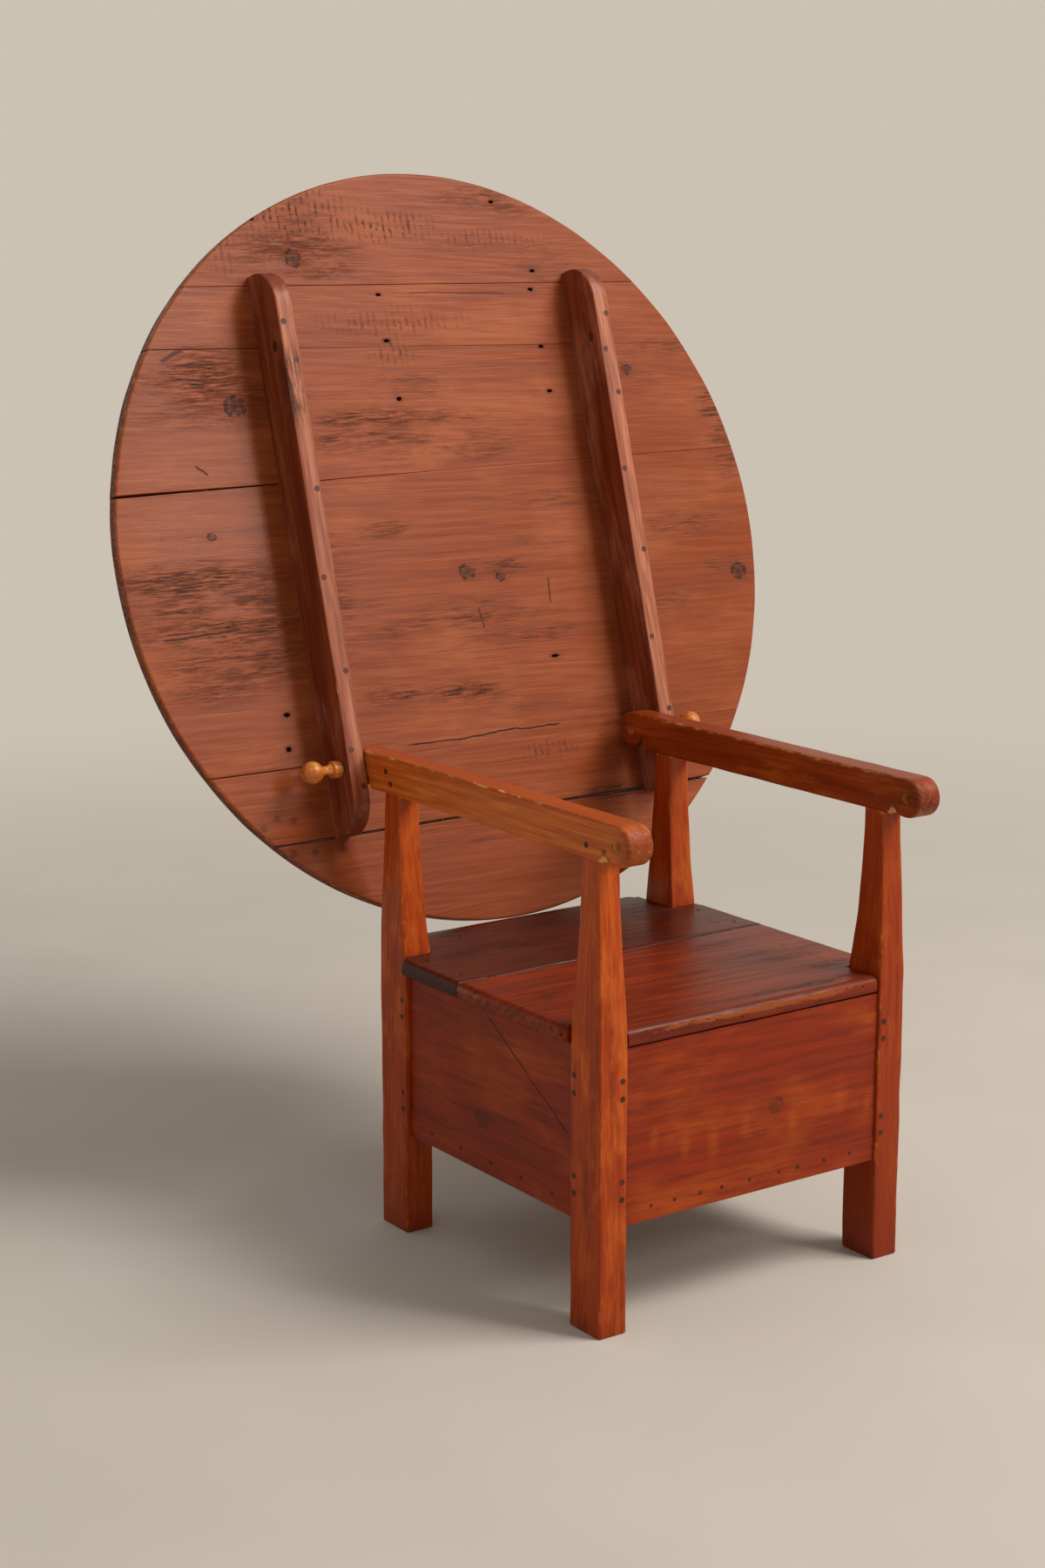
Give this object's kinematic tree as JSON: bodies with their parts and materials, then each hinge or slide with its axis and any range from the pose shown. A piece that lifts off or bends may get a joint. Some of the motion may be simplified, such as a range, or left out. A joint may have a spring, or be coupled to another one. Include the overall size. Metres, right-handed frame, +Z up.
{
  "type": "chair table",
  "caption": "Wooden armchair on a boxed base with a lift-up seat, whose round plank back tips forward on pins to become a table top.",
  "frame": {"origin": "on the floor, under the middle of the whole outline as seen from above, in the chair pose", "axes": "+Z up, -Y the way a sitter faces, +X the sitter's left"},
  "size_m": [1.1699, 0.9727, 1.5532],
  "materials": {
    "leg_wood": "old worn red-brown wash over pine, bright orange where rubbed",
    "arm_wood": "worn orange-brown wash, lighter on the edges",
    "panel_wood": "deep red-orange wash with scratches",
    "seat_wood": "dark red-brown, rubbed to tan on the nosing",
    "bottom_wood": "bare old pine",
    "top_wood": "dull terracotta wash with saw marks and knots",
    "batten_wood": "dull red-brown wash, worn on the arris",
    "peg_wood": "dark end grain",
    "pin_wood": "golden turned wood",
    "iron": "dark rusty iron"
  },
  "bodies": {
    "base": {"rear_leg_left": "leg_wood", "rear_leg_right": "leg_wood", "front_leg_left": "leg_wood", "front_leg_right": "leg_wood", "arm_left": "arm_wood", "arm_right": "arm_wood", "back_panel": "panel_wood", "front_panel": "panel_wood", "side_panel_left": "panel_wood", "side_panel_right": "panel_wood", "box_bottom_board_1": "bottom_wood", "box_bottom_board_2": "bottom_wood", "box_bottom_board_3": "bottom_wood", "back_panel_pegs": "peg_wood", "front_panel_pegs": "peg_wood", "side_panel_pegs_left": "peg_wood", "side_panel_pegs_right": "peg_wood", "arm_pegs_left": "peg_wood", "arm_pegs_right": "peg_wood", "box_bottom_nails": "iron", "seat_board_nails": "iron", "seat_back_board": "seat_wood", "hinge_back_leaf_left": "iron", "hinge_back_leaf_right": "iron", "hinge_pin_left": "iron", "hinge_pin_right": "iron", "hinge_back_screws": "iron"},
    "seat_lid": {"seat_lid": "seat_wood", "hinge_lid_leaf_left": "iron", "hinge_lid_leaf_right": "iron", "hinge_lid_screws": "iron"},
    "top": {"top_board_1": "top_wood", "top_board_2": "top_wood", "top_board_3": "top_wood", "top_board_4": "top_wood", "top_board_5": "top_wood", "top_board_6": "top_wood", "batten_left": "batten_wood", "batten_right": "batten_wood", "batten_plugs_left": "peg_wood", "batten_plugs_right": "peg_wood", "batten_screws": "iron", "top_dowels": "peg_wood"},
    "pivot_pin_left": {"pivot_pin_left": "pin_wood"},
    "pivot_pin_right": {"pivot_pin_right": "pin_wood"}
  },
  "joints": [
    {"name": "top_tilt", "type": "hinge", "parent": "base", "child": "top", "pos_m": [0, 0.17259, 0.693], "axis": [1, 0, 0], "range_deg": [0, 105.8]},
    {"name": "seat_lid_hinge", "type": "hinge", "parent": "base", "child": "seat_lid", "pos_m": [0, -0.10041, 0.4245], "axis": [-1, 0, 0], "range_deg": [0, 68]},
    {"name": "pivot_pin_left_pull", "type": "slide", "parent": "base", "child": "pivot_pin_left", "axis": [1, 0, 0], "range_m": [0, 0.07]},
    {"name": "pivot_pin_right_pull", "type": "slide", "parent": "base", "child": "pivot_pin_right", "axis": [-1, 0, 0], "range_m": [0, 0.07]}
  ]
}
